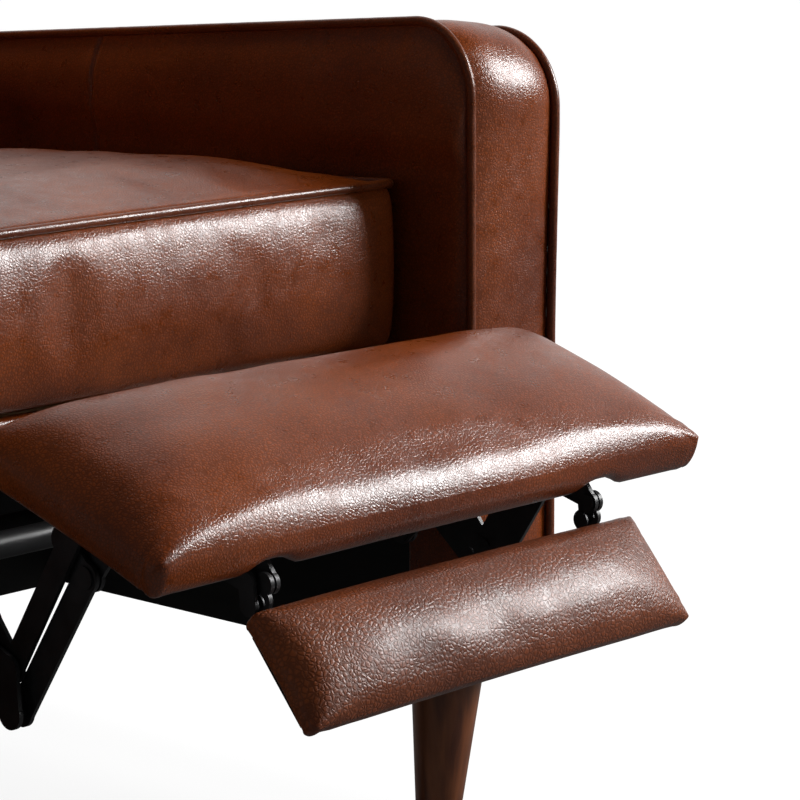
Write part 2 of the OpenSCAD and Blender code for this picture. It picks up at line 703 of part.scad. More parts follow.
// The flipper is drawn from its back top edge: across, backwards, outwards
module at_flip() { place() translate([0, flip_top[0], flip_top[1]]) rotate([flip_fall, 0, 0]) translate([0, -flip_l, -flip_edge]) children(); }
module flipper_board() { color("burlywood") at_flip() board(flip_w, flip_l); }
module flipper_pad() {
    color("saddlebrown") at_flip() difference() {
        translate([0, flip_l / 2, 0]) cushion(flip_w, flip_l, flip_edge, flip_crown, 14, 8, 1.5, 0.5, 0, 5);
        translate([0, 0, -e]) board_cut(flip_w, flip_l);
    }
}
function fuv(p) = let (q = uv(p, flip_top, flip_fall)) [q[0] + flip_l, q[1] + flip_edge];
module flipper_brackets() {
    hf = fuv(H);
    gf = fuv(G);
    sf = fuv(G + slot_v);
    color("black") at_flip() both() {
        yz(hinge_x, steel_t) difference() {
            union() {
                translate(hf) circle(d = 14);
                bar(gf, sf, hinge_pin_d + 6);
                bar(hf, gf, 12);
                bar(gf, [flip_l - 7, -7], 13);
                translate([flip_l - 50, -13]) square([43, 13]);
            }
            slot(gf, sf, hinge_pin_d + 2 * loop_gap);
        }
        translate([hinge_x - 22, flip_l - 56, -steel_t]) cube([22 + steel_t, 48, steel_t]);
        pin(hf, h1 - 0.2, hinge_x - h1 + 0.2 + steel_t, hinge_pin_d);
        pin(hf, h1 - 1.3, 1.2, hinge_pin_d + 4);
    }
}

module left() { mirror([1, 0, 0]) children(); }
left() arm_cover();  // arm_cover_l
arm_cover();  // arm_cover_r
left() arm_piping();  // arm_piping_l
arm_piping();  // arm_piping_r
left() arm_panel();  // arm_panel_l
arm_panel();  // arm_panel_r
cross_rails();
leg(-leg_x, leg_front_y, leg_lean);  // leg_fl
leg(leg_x, leg_front_y, leg_lean);  // leg_fr
leg(-leg_x, leg_rear_y, leg_rake);  // leg_rl
leg(leg_x, leg_rear_y, leg_rake);  // leg_rr
glides();
left() base_plate();  // base_plate_l
base_plate();  // base_plate_r
base_bolts();
base_tube();
drive_arms();
swing_pins();
swing_link(UF, SF);  // front_swing_links
swing_link(UR, SR);  // rear_swing_links
left() seat_rail();  // seat_rail_l
seat_rail();  // seat_rail_r
seat_tubes();
seat_side_rails();
seat_cross_rails();
seat_springs();
spring_clips();
seat_border();
seat_cushion();
link_pins();
back_posts();
back_rails();
back_webbing();
back_cushion();
back_cover();
back_hinges();
rear_links();
torque_tube();
front_links();
upper_links();
lower_links();
flipper_links();
footrest_board();
footrest_pad();
footrest_brackets();
hinge_brackets();
flipper_board();
flipper_pad();
flipper_brackets();
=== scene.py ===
import bmesh
import bpy
import math
import numpy as np
from mathutils import Matrix, Vector
from mathutils.kdtree import KDTree


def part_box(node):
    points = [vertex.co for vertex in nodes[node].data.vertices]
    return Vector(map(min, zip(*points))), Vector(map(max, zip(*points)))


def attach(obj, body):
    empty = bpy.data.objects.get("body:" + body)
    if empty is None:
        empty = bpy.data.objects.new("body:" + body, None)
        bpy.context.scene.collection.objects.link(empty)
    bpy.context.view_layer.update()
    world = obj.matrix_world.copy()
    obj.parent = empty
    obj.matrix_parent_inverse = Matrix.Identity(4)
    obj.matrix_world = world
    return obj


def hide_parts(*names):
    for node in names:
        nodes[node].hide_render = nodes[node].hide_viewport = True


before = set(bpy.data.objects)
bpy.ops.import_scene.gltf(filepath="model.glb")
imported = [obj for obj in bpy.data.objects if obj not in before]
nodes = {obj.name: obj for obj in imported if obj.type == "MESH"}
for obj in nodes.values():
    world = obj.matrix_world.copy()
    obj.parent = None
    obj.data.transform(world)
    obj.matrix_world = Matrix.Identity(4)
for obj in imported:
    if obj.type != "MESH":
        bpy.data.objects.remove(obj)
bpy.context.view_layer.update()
scene = bpy.context.scene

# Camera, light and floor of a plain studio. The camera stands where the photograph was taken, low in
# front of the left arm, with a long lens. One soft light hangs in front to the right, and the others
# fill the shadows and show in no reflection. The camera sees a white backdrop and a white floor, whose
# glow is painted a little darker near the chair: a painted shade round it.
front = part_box("arm_piping_r")[0].y + 0.0035      # plane of the arms' front ends
yaw, pitch, roll = (math.radians(a) for a in (47.26, 10.62, -0.20))
look = Vector((math.sin(yaw) * math.cos(pitch), math.cos(yaw) * math.cos(pitch), -math.sin(pitch)))
level = Vector((math.cos(yaw), -math.sin(yaw), 0.0))
above = Vector((math.sin(yaw) * math.sin(pitch), math.cos(yaw) * math.sin(pitch), math.cos(pitch)))
right = level * math.cos(roll) + above * math.sin(roll)
up = above * math.cos(roll) - level * math.sin(roll)
camera = bpy.data.objects.new("camera", bpy.data.cameras.new("camera"))
camera.data.lens, camera.data.sensor_width = 148.5, 36.0
camera.data.sensor_fit = "HORIZONTAL"
camera.data.clip_end = 50.0
spot = Vector((-1.4405, front - 1.4884, 0.7537))
camera.matrix_world = Matrix(((right.x, up.x, -look.x, spot.x), (right.y, up.y, -look.y, spot.y),
                              (right.z, up.z, -look.z, spot.z), (0, 0, 0, 1)))
scene.collection.objects.link(camera)
scene.camera = camera
scene.view_settings.view_transform = "Standard"


def soft_light(name, place, aim, size, watts):
    """A square soft light that shines from one point at another."""
    lamp = bpy.data.objects.new(name, bpy.data.lights.new(name, "AREA"))
    lamp.data.size, lamp.data.energy = size, watts
    lamp.location = place
    lamp.rotation_euler = (Vector(aim) - Vector(place)).to_track_quat("-Z", "Y").to_euler()
    scene.collection.objects.link(lamp)
    return lamp


soft_light("softbox_right", (1.95, -1.65, 1.45), (0.0, -0.15, 0.4), 0.9, 80)
for fill in (soft_light("softbox_above", (0.7, 0.55, 2.5), (0.0, -0.1, 0.4), 1.3, 34),
             soft_light("fill_left", (-2.4, -1.3, 1.4), (0.0, 0.0, 0.4), 1.8, 0.6),
             soft_light("fill_front", (0.7, -2.8, 0.8), (0.0, -0.2, 0.35), 1.6, 9),
             soft_light("fill_rear", (-0.9, 2.9, 1.5), (0.0, 0.4, 0.5), 1.6, 34),
             soft_light("fill_side", (-2.9, 0.9, 0.6), (-0.3, 0.2, 0.4), 1.2, 9)):
    fill.visible_glossy = False


def feed(tree, made, values):
    """Gives a node's inputs their values: the output of another node is linked, anything else is set."""
    for socket, value in values.items():
        if isinstance(value, bpy.types.NodeSocket):
            tree.links.new(value, made.inputs[socket])
        else:
            made.inputs[socket].default_value = value


def node(tree, kind, values, **settings):
    """Adds a shader node with these settings and input values."""
    made = tree.nodes.new("ShaderNode" + kind)
    for key, value in settings.items():
        setattr(made, key, value)
    feed(tree, made, values)
    return made


def calc(tree, operation, *values):
    """The result of a Math node for these values."""
    return node(tree, "Math", dict(enumerate(values)), operation=operation).outputs[0]


def mapped(tree, value, source, target, kind="LINEAR"):
    """The value moved from the source range to the target range and held inside it."""
    ends = {"From Min": source[0], "From Max": source[1], "To Min": target[0], "To Max": target[1]}
    return node(tree, "MapRange", {"Value": value, **ends}, interpolation_type=kind).outputs["Result"]


world = bpy.data.worlds.new("studio")
scene.world = world
world.use_nodes = True
tree = world.node_tree
tree.nodes.clear()
rays = node(tree, "LightPath", {}).outputs
backdrop = (0.75, 0.62, 0.23)      # where reflections see white: to the right behind the chair
facing_it = node(tree, "VectorMath", {0: node(tree, "TexCoord", {}).outputs["Generated"], 1: backdrop},
                 operation="DOT_PRODUCT").outputs["Value"]
mirrored = calc(tree, "MULTIPLY", rays["Is Glossy Ray"],
                mapped(tree, facing_it, (0.55, 0.97), (0.02, 0.78), "SMOOTHSTEP"))
direct = calc(tree, "MAXIMUM", rays["Is Camera Ray"], rays["Is Transmission Ray"])
seen = calc(tree, "MAXIMUM", direct, mirrored)
room = node(tree, "Background", {0: (0.97, 0.98, 1.0, 1), 1: 0.045}).outputs[0]
white = node(tree, "Background", {0: (1, 1, 1, 1), 1: 1.0}).outputs[0]
mixed = node(tree, "MixShader", {0: seen, 1: room, 2: white}).outputs[0]
node(tree, "OutputWorld", {0: mixed})

floor_size = 14.0
floor_mesh = bpy.data.meshes.new("floor")
floor_corners = [(x * floor_size, y * floor_size, 0) for x, y in ((-1, -1), (1, -1), (1, 1), (-1, 1))]
floor_mesh.from_pydata(floor_corners, [], [(0, 1, 2, 3)])
floor = bpy.data.objects.new("floor", floor_mesh)
scene.collection.objects.link(floor)
floor_paint = bpy.data.materials.new("pale_floor")
floor_paint.use_nodes = True
tree = floor_paint.node_tree
tree.nodes.clear()
rays = node(tree, "LightPath", {}).outputs
where = node(tree, "TexCoord", {}).outputs["Object"]
distance = node(tree, "VectorMath", {0: where}, operation="LENGTH").outputs["Value"]
behind = (0.77, 0.64, 0.0)         # the floor shows in reflections to the right behind the chair only
aside = node(tree, "VectorMath", {0: where, 1: behind}, operation="DOT_PRODUCT").outputs["Value"]
mirrored = calc(tree, "MULTIPLY", rays["Is Glossy Ray"],
                mapped(tree, aside, (0.7, 3.0), (0.0, 0.45), "SMOOTHSTEP"))
seen = calc(tree, "MAXIMUM", rays["Is Camera Ray"], mirrored)
# Painted shade: the floor's glow is 0.9 within half a metre of the chair and rises to 1.0 at 2.6 m.
glow_with_painted_shade = calc(tree, "MULTIPLY", seen, mapped(tree, distance, (0.5, 2.6), (0.90, 1.0), "SMOOTHSTEP"))
glow = node(tree, "Emission", {1: glow_with_painted_shade}).outputs[0]
matt = node(tree, "BsdfDiffuse", {0: (0.12, 0.12, 0.12, 1)}).outputs[0]
node(tree, "OutputMaterial", {0: node(tree, "AddShader", {0: matt, 1: glow}).outputs[0]})
floor_mesh.materials.append(floor_paint)

# Leather of the whole chair: cowhide in a reddish brown dye, with a fine pebble grain and a painted shade
# in the creases between the pebbles, and cloudy where the dye took more. It is cut, sewn and pulled over foam.


def new_material(name):
    """A new material with its node tree, its shader and the object coordinates."""
    made = bpy.data.materials.new(name)
    made.use_nodes = True
    tree = made.node_tree
    return made, tree, tree.nodes["Principled BSDF"], node(tree, "TexCoord", {}).outputs["Object"]


def noise(tree, where, scale, detail=2.0, **more):
    """The grey value of noise with that many waves to a metre, in octaves of detail."""
    return node(tree, "TexNoise", {"Vector": where, "Scale": scale, "Detail": detail, **more}).outputs["Fac"]


def ramp(tree, value, *stops):
    """A colour that runs along value from stop to stop, each a place and a colour."""
    made = node(tree, "ValToRGB", {0: value})
    bar = made.color_ramp.elements
    for k in (0, -1):
        bar[k].position, bar[k].color = stops[k][0], (*stops[k][1], 1)
    for place, colour in stops[1:-1]:
        bar.new(place).color = (*colour, 1)
    return made.outputs[0]


def relief(tree, height, distance, strength=1.0):
    """The surface normal of a bump whose full height is that distance in metres."""
    made = node(tree, "Bump", {"Strength": strength, "Distance": distance, "Height": height})
    return made.outputs["Normal"]


def leather(name, deep, middle, warm, gloss=0.30, grain=1.0, pebbles=440.0):
    """Leather whose colour runs from deep over middle to warm along a cloud of noise, painted darker in the
    creases as a painted shade, and whose bump is a net of creases, the distance to the nearest cell
    wall, under a little fine noise."""
    made, tree, shader, where = new_material(name)
    bend = node(tree, "TexNoise", {"Vector": where, "Scale": 140.0, "Detail": 2.0}).outputs["Color"]
    shifted = node(tree, "VectorMath", {0: bend, 1: (0.0032, 0.0032, 0.0032), 2: where},
                   operation="MULTIPLY_ADD").outputs[0]
    pebble = node(tree, "TexVoronoi", {"Vector": shifted, "Scale": pebbles, "Randomness": 1.0},
                  feature="DISTANCE_TO_EDGE").outputs["Distance"]
    crease = mapped(tree, pebble, (0.0, 0.30), (0.0, 1.0), "SMOOTHSTEP")
    pores, waves = noise(tree, where, 900.0, 3.0), noise(tree, where, 75.0, 4.0)
    clouds = noise(tree, where, 9.0, 5.0, Roughness=0.55)
    colour = ramp(tree, clouds, (0.2875, deep), (0.5, middle), (0.7375, warm))
    # Painted shade: the colour is multiplied by 0.62 in the creases between the pebbles, rising to 1.06 on
    # their tops; the waves noise adds the leather's own uneven tone.
    shade = calc(tree, "MULTIPLY", mapped(tree, waves, (0.3, 0.7), (0.92, 1.06)),
                 mapped(tree, crease, (0.0, 1.0), (0.62, 1.06)))
    dyed_and_crease_shaded = node(tree, "Mix", {"Factor": 1.0, 6: colour, 7: shade}, data_type="RGBA", blend_type="MULTIPLY")
    height = calc(tree, "MULTIPLY_ADD", waves, 0.9, calc(tree, "MULTIPLY_ADD", pores, 0.22, crease))
    feed(tree, shader, {"Base Color": dyed_and_crease_shaded.outputs[2], "Normal": relief(tree, height, 0.00045, 0.27 * grain),
                        "Roughness": mapped(tree, waves, (0.3, 0.7), (gloss - 0.05, gloss + 0.09)),
                        "IOR": 1.5, "Coat Weight": 0.18, "Coat Roughness": 0.24})
    return made


hide = leather("cowhide", (0.128, 0.022, 0.002), (0.196, 0.037, 0.004), (0.272, 0.058, 0.008))
hide_coarse = leather("cowhide_coarse", (0.125, 0.025, 0.004), (0.185, 0.039, 0.007), (0.255, 0.060, 0.012),
                      gloss=0.42, grain=1.7, pebbles=330.0)
# The piping is the same leather painted about a quarter darker: a painted shade along the seams.
hide_piping_shaded = leather("cowhide_piping", (0.095, 0.018, 0.003), (0.140, 0.028, 0.005), (0.195, 0.044, 0.008),
                    gloss=0.30, grain=0.6)

# Arms: a plywood panel with foam on both sides, covered with two leather sides and one long strip that
# runs up the front, over the top and down the back. Piping is sewn into both seams of the strip. The
# inner side ends above the mechanism, and has one upright seam where two pieces of leather meet.
arm_in, arm_out = 245.0, 331.0
arm_len, arm_high, arm_low, fall = 780.0, 596.0, 130.0, math.radians(4.1)
front_round, back_round = 52.0, 30.0
top_tilt = math.tan(math.radians(7.5))
c_front = np.array([front_round, arm_high - front_round * math.tan(fall) - front_round / math.cos(fall)])
c_back = np.array([arm_len - back_round,
                   arm_high - (arm_len - back_round) * math.tan(fall) - back_round / math.cos(fall)])
seam_y = 379.0


def cells(rows, cols, wrap=True):
    """The faces of a grid of points, four neighbours to each. With wrap the last column joins the first."""
    i = np.arange(rows - 1)[:, None]
    j = np.arange(cols if wrap else cols - 1)[None, :]
    jn = (j + 1) % cols
    corners = [i * cols + j, i * cols + jn, (i + 1) * cols + jn, (i + 1) * cols + j]
    return np.stack(corners, -1).reshape(-1, 4).tolist()


def net(name, grid, wrap=True, first=False, last=False, material=None, body=None, replaces=()):
    """A piece over a grid of points in millimetres, rows by columns, which rides on a body and may
    replace CAD nodes. First and last close the end rows with one face each."""
    grid = np.asarray(grid, float)
    rows, cols = grid.shape[:2]
    co = grid.reshape(-1, 3) / 1000.0
    co[:, 1] += front
    faces = cells(rows, cols, wrap)
    if first:
        faces.append(list(range(cols))[::-1])
    if last:
        faces.append(list(range((rows - 1) * cols, rows * cols)))
    mesh = bpy.data.meshes.new(name)
    mesh.from_pydata(co.tolist(), [], faces)
    piece = bpy.data.objects.new(name, mesh)
    scene.collection.objects.link(piece)
    tidy(mesh)
    mesh.materials.append(material)
    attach(piece, body)
    if replaces:
        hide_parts(*replaces)
    return piece


def tidy(mesh):
    """Merges the doubled points of poles and seams, turns the faces outwards and shades them smooth."""
    b = bmesh.new()
    b.from_mesh(mesh)
    bmesh.ops.remove_doubles(b, verts=b.verts, dist=1e-6)
    bmesh.ops.dissolve_degenerate(b, edges=b.edges, dist=1e-7)
    bmesh.ops.recalc_face_normals(b, faces=b.faces)
    b.to_mesh(mesh)
    b.free()
    mesh.shade_smooth()


def ripple(u, seed, count=6, low=0.6, high=2.4):
    """A smooth wave that never repeats: the mean of sines of u at several frequencies and phases."""
    rng = np.random.default_rng(seed)
    freq = rng.uniform(low, high, count)
    phase = rng.uniform(0, 2 * np.pi, count)
    return np.sin(np.multiply.outer(u, freq) + phase).mean(-1) * 1.6


def drift(x, y, seed, scale):
    """A soft cloud between -1 and 1: the mean of plane waves of about that wavelength, each in its own
    direction."""
    rng = np.random.default_rng(seed)
    a = rng.uniform(0, 2 * np.pi, 9)
    f = 2 * np.pi / scale * rng.uniform(0.6, 1.5, 9)
    c = rng.uniform(0, 2 * np.pi, 9)
    waves = np.sin(np.multiply.outer(x, f * np.cos(a)) + np.multiply.outer(y, f * np.sin(a)) + c)
    return waves.mean(-1) * 1.9


def arm_line():
    """Points along an arm's side outline and their outward normals: straight up the front, a quarter
    round, back along the sloping top, a small round, and straight down the back."""
    def turn(c, r, a0, a1, n):
        a = np.radians(np.linspace(a0, a1, n))
        d = np.stack([np.cos(a), np.sin(a)], -1)
        return c + r * d, d
    deg = math.degrees(fall)
    z = np.arange(arm_low, c_front[1], 2.2)
    p = [np.stack([0 * z, z], -1)]
    d = [np.tile([-1.0, 0.0], (len(z), 1))]
    q, e = turn(c_front, front_round, 180, 90 - deg, 56)
    p.append(q)
    d.append(e)
    y0, y1 = q[-1][0], c_back[0] + back_round * math.sin(fall)
    y = np.unique(np.round(np.concatenate([np.arange(y0 + 2.2, 330, 2.5), np.arange(330, 372, 4),
                                           np.arange(372, 386.1, 0.7), np.arange(390, y1 - 3, 7)]), 3))
    p.append(np.stack([y, arm_high - y * math.tan(fall)], -1))
    d.append(np.tile([math.sin(fall), math.cos(fall)], (len(y), 1)))
    q, e = turn(c_back, back_round, 90 - deg, 0, 18)
    p.append(q)
    d.append(e)
    z = np.linspace(c_back[1] - 6, arm_low, 50)
    p.append(np.stack([0 * z + arm_len, z], -1))
    d.append(np.tile([1.0, 0.0], (len(z), 1)))
    return np.concatenate(p), np.concatenate(d)


line, out = arm_line()
along = np.concatenate([[0], np.cumsum(np.linalg.norm(np.diff(line, axis=0), axis=1))])
bend_s = float(along[np.argmin(np.abs(line[:, 1] - c_front[1]) + np.abs(line[:, 0]))])
corner_near = np.exp(-((along - bend_s - 40) / 65.0) ** 2)


def leaned(grid):
    """The arm's top falls outwards: every point sinks by the tilt times its distance from the inner
    face, in full above 280 mm and less and less below."""
    g = np.array(grid, float)
    g[..., 2] -= np.clip(g[..., 0] - arm_in, 0, 90) * top_tilt * np.clip((g[..., 2] - arm_low) / 150, 0, 1)
    return g


def flare(z):
    """How far the padded top of the arm stands out beyond its lower part."""
    return 3.6 * np.clip((z - 380) / 140.0, 0, 1) ** 1.3


def arm_face(x_face, sign, low_q, count, seed, seam=False):
    """One side of an arm between its edge and the line q where it ends: a point slides from edge to q,
    and its height over the face rises from the dip at the piping to a soft crown, with small gathers
    that fade 30 mm from the edge and are strongest round the front corner."""
    t = np.linspace(0, 1, count) ** 1.7
    start = line - out * 4.4
    span = np.linalg.norm(low_q - start, axis=1)
    dist = span[:, None] * t[None, :]
    yz = start[:, None, :] + (low_q - start)[:, None, :] * t[None, :, None]
    full = 1 - np.exp(-(dist / 11.0) ** 1.3)
    lift = -3.4 * (1 - full) + 1.7 * (1 - np.exp(-dist / 70.0))
    if sign < 0:
        clear = np.clip((yz[..., 1] - 488) / 26.0, 0, 1)
        padding = 2.4 * np.clip((yz[..., 1] - 350) / 60, 0, 1) + 4.6 * clear * clear * (3 - 2 * clear)
        lift = lift + (1 - np.exp(-(dist / 17.0) ** 1.6)) * padding
    else:
        lift = lift + flare(yz[..., 1]) * np.exp(-(dist / 160.0) ** 2)
    gather = ripple(along / 6.5, seed)[:, None] * np.exp(-((dist - 7) / 11.0) ** 2)
    gather = gather * (0.16 + corner_near)[:, None]
    sag = drift(yz[..., 0], yz[..., 1], seed + 1, 120.0) * 0.7 * full
    lift = lift + 0.75 * gather + sag
    if seam:
        from_seam = yz[..., 0] - seam_y
        lift = lift - 1.5 * np.exp(-(from_seam / 1.5) ** 2)
        lift = lift + 0.5 * np.exp(-((np.abs(from_seam) - 5.5) / 3.5) ** 2)
    x = x_face + sign * lift
    return np.concatenate([x[..., None], yz], -1)


def arm_strip(count):
    """The long strip between the two seams: it stands proud of the seams by a flat arch of the width,
    and puckers a little beside its inner seam."""
    w = np.linspace(0, 1, count)
    arch = 1 - np.abs(2 * w - 1) ** 3.2
    inset = 3.9 - (3.5 + 4.6 * corner_near[:, None]) * arch[None, :]
    x = arm_out - 2.4 - (arm_out - arm_in - 4.8) * w[None, :] + flare(line[:, 1])[:, None] * (1 - w)[None, :]
    edge = np.exp(-((1 - w) * 78 / 8.0) ** 2)
    other = np.exp(-(w * 78 / 8.0) ** 2)
    fine, coarse, far = (ripple(along / wave, seed)[:, None] for wave, seed in ((2.3, 5), (6.0, 6), (5.2, 8)))
    pucker = fine * edge * 0.34 + coarse * edge * 0.5 * corner_near[:, None] + far * other * 0.28
    soft = drift(along[:, None], x, 21, 70.0) * 0.35 * arch
    off = (inset - pucker - soft)[..., None]
    yz = line[:, None, :] - out[:, None, :] * off
    yz = yz + np.maximum(0, -out[:, 0])[:, None, None] * np.array([3.4, 0.0]) * (w ** 3)[None, :, None]
    return np.concatenate([x[..., None], yz], -1)


q_out = np.stack([np.clip(line[:, 0], front_round, arm_len - 67), 0 * line[:, 0] + arm_low + 0.5], -1)
q_in = np.stack([np.clip(line[:, 0], 60, 720), np.clip(line[:, 1], arm_low + 0.5, 345)], -1)
outer = arm_face(arm_out, 1, q_out, 44, 3)[:, ::-1]
strip = arm_strip(40)
inner = arm_face(arm_in, -1, q_in, 60, 11, seam=True)
turned = inner[:, -1:, :] + np.array([1.0, 0, 0]) * np.array([1.5, 3.2])[None, :, None]
arm_grid = leaned(np.concatenate([outer, strip, inner, turned], 1))
arm_grid[..., 2] = np.maximum(arm_grid[..., 2], arm_low + 0.2)


def pipe(points, radius, count=14, wobble=0.0, seed=1):
    """A cord of that radius along points: at each point a circle stands square to the line, and its
    radius swells a little by a wave along the line."""
    points = np.asarray(points, float)
    t = np.gradient(points, axis=0)
    t /= np.linalg.norm(t, axis=1)[:, None]
    side = np.cross(t, [1.0, 0.0, 0.0])
    weak = np.linalg.norm(side, axis=1) < 0.3
    side[weak] = np.cross(t[weak], [0.0, 0.0, 1.0])
    side /= np.linalg.norm(side, axis=1)[:, None]
    other = np.cross(t, side)
    s = np.concatenate([[0], np.cumsum(np.linalg.norm(np.diff(points, axis=0), axis=1))])
    r = radius * (1 + wobble * ripple(s / 5.0, seed))
    a = np.linspace(0, 2 * np.pi, count, endpoint=False)
    ring = np.cos(a)[None, :, None] * side[:, None, :] + np.sin(a)[None, :, None] * other[:, None, :]
    return points[:, None, :] + r[:, None, None] * ring


def tube_mesh(name, tubes):
    """A mesh of many short closed tubes, from an array of tubes by rings by points."""
    index = np.arange(tubes[..., 0].size).reshape(tubes.shape[:3])
    following = np.roll(index, -1, 2)
    quads = np.stack([index[:, :-1], following[:, :-1], following[:, 1:], index[:, 1:]], -1).reshape(-1, 4)
    ends = np.concatenate([index[:, 0, ::-1], index[:, -1]])
    co = tubes.reshape(-1, 3) / 1000.0
    co[:, 1] += front
    mesh = bpy.data.meshes.new(name)
    mesh.from_pydata(co.tolist(), [], quads.tolist() + ends.tolist())
    return mesh


thread, tree, shader, where = new_material("sewing_thread")
twist = ramp(tree, noise(tree, where, 2500.0), (0.0, (0.10, 0.030, 0.012)), (1.0, (0.24, 0.085, 0.040)))
feed(tree, shader, {"Base Color": twist, "Roughness": 0.6})

dust_cloth, tree, shader, where = new_material("black_underlining")
warp, weft = (node(tree, "TexWave", {"Vector": where, "Scale": 420.0}, bands_direction=axis).outputs["Fac"]
              for axis in "XY")
weave = calc(tree, "MULTIPLY", warp, weft)
blacks = ramp(tree, weave, (0.0, (0.008, 0.008, 0.009)), (1.0, (0.035, 0.034, 0.034)))
feed(tree, shader, {"Base Color": blacks, "Normal": relief(tree, weave, 0.0003), "Roughness": 0.9})

# Stitches of the upright seam: a short arched thread every 3.6 mm on each side of it.
stitch_z = np.arange(349.0, arm_high - seam_y * math.tan(fall) - 12, 3.6)
bow = np.linspace(0, np.pi, 5)
stitch = np.stack([arm_in - 1.0 - 0.45 * np.sin(bow), 0 * bow, 2.6 * (1 - np.cos(bow)) / 2 - 1.3], -1)
stitch_rows = [np.stack([0 * stitch_z, 0 * stitch_z + seam_y + beside, stitch_z], -1)
               for beside in (-3.2, 3.2)]
stitch_runs = stitch + np.concatenate(stitch_rows)[:, None, :]
around = np.linspace(0, 2 * np.pi, 6, endpoint=False)
thread_ring = np.stack([0.32 * np.cos(around), 0.32 * np.sin(around), 0 * around], -1)
stitch_tubes = stitch_runs[:, :, None, :] + thread_ring

# The underside of the arm is closed with black cloth over a board.
under_y = np.array([4.0, 4.0, arm_len - 4, arm_len - 4])
under_x = np.array([arm_in + 24, arm_out - 2, arm_out - 2, arm_in + 24])
under_slab = np.stack([np.stack([under_x, under_y, np.full(4, arm_low + rise)], -1) for rise in (0.6, 5.6)])

piping_radius = 3.35
cord_lines = ((arm_out - 2.3 + flare(line[:, 1]), 0.0, 31), (arm_in + 2.3 + 0 * line[:, 1], 3.4, 37))
for tag, mirror in (("r", np.ones(3)), ("l", np.array([-1.0, 1.0, 1.0]))):
    cover = net(f"arm_leather_{tag}", arm_grid * mirror, wrap=False, material=hide, body="base",
                replaces=(f"arm_cover_{tag}",))
    wall = cover.modifiers.new("thickness", "SOLIDIFY")
    wall.thickness, wall.offset = 0.0012, -1.0
    for n_cord, (x_pipe, back_by, seed) in enumerate(cord_lines):
        path = np.concatenate([x_pipe[:, None], line - out * 0.6], 1)
        path[:, 1] += back_by * np.maximum(0, -out[:, 0])
        cord_grid = pipe(leaned(path), piping_radius, 14, wobble=0.012, seed=seed) * mirror
        net(f"arm_piping_{tag}_{n_cord + 1}", cord_grid, first=True, last=True, material=hide_piping_shaded,
            body="base", replaces=(f"arm_piping_{tag}",))
    stitch_mesh = tube_mesh(f"arm_stitches_{tag}", stitch_tubes * mirror)
    stitch_mesh.materials.append(thread)
    stitches = bpy.data.objects.new(f"arm_stitches_{tag}", stitch_mesh)
    scene.collection.objects.link(stitches)
    tidy(stitch_mesh)
    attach(stitches, "base")
    net(f"arm_underside_{tag}", under_slab * mirror, first=True, last=True, material=dust_cloth, body="base").data.shade_flat()

# Seat cushion: a loose foam block in a boxed leather cover, with piping in the seam round its top
# panel. The top is crowned, the front bulges under its seam and the corners are drawn in.


def outline(a, b, r, pull, sides=90, rounds=14):
    """A rectangle of half sizes a and b with round corners, whose sides draw in between the corners by
    pull times one minus the square of the place along the side. Runs once round, corner to corner."""
    ang = np.radians(np.linspace(0, 90, rounds))
    pts, nrm = [], []
    for k in range(4):
        cx, cy = (a - r, b - r) if k % 2 == 0 else (b - r, a - r)
        arc = np.stack([cx + r * np.cos(ang), cy + r * np.sin(ang)], -1)
        t = np.linspace(0, 1, sides + 2)[1:-1, None]
        side = arc[-1] * (1 - t) + np.array([-cx, cy + r]) * t
        piece = np.concatenate([arc, side])
        n_piece = np.concatenate([np.stack([np.cos(ang), np.sin(ang)], -1), np.tile([0.0, 1.0], (sides, 1))])
        rot = np.array([[math.cos(k * math.pi / 2), -math.sin(k * math.pi / 2)],
                        [math.sin(k * math.pi / 2), math.cos(k * math.pi / 2)]]).round(9)
        pts.append(piece @ rot.T)
        nrm.append(n_piece @ rot.T)
    p, n = np.concatenate(pts), np.concatenate(nrm)
    u, v = p[:, 0] / a, p[:, 1] / b
    p[:, 0] -= pull * u * np.abs(u) ** 5 * (1 - v * v)
    p[:, 1] -= pull * v * np.abs(v) ** 5 * (1 - u * u)
    return p, n


def stack(base, normal, rings):
    """Rings of a cushion: each moves the outline inwards by an inset, which may vary round it, and puts
    it at a height, which may vary too."""
    out_rings = []
    for inset, z in rings:
        inset = np.broadcast_to(inset, len(base))
        z = np.broadcast_to(z, len(base))
        q = base - normal * inset[:, None]
        out_rings.append(np.concatenate([q, z[:, None]], 1))
    return out_rings


def facing(grid):
    """Outward normals of a closed grid, from the cross product of its two directions."""
    du = np.gradient(grid, axis=0)
    dv = (np.roll(grid, -1, 1) - np.roll(grid, 1, 1)) / 2
    n = np.cross(dv, du)
    size = np.linalg.norm(n, axis=-1, keepdims=True)
    return n / np.maximum(size, 1e-9)


def lid(ring, z_of, count, power=1.0):
    """The panel inside a ring: the ring shrinks to the middle in count steps, with its height given
    by a function of the place and of how far in it is."""
    f = np.linspace(0, 1, count + 1)[1:] ** power
    xy = ring[None, :, :2] * (1 - f)[:, None, None]
    z = z_of(xy[..., 0], xy[..., 1], f[:, None])
    return np.concatenate([xy, np.broadcast_to(z, xy.shape[:2])[..., None]], -1)


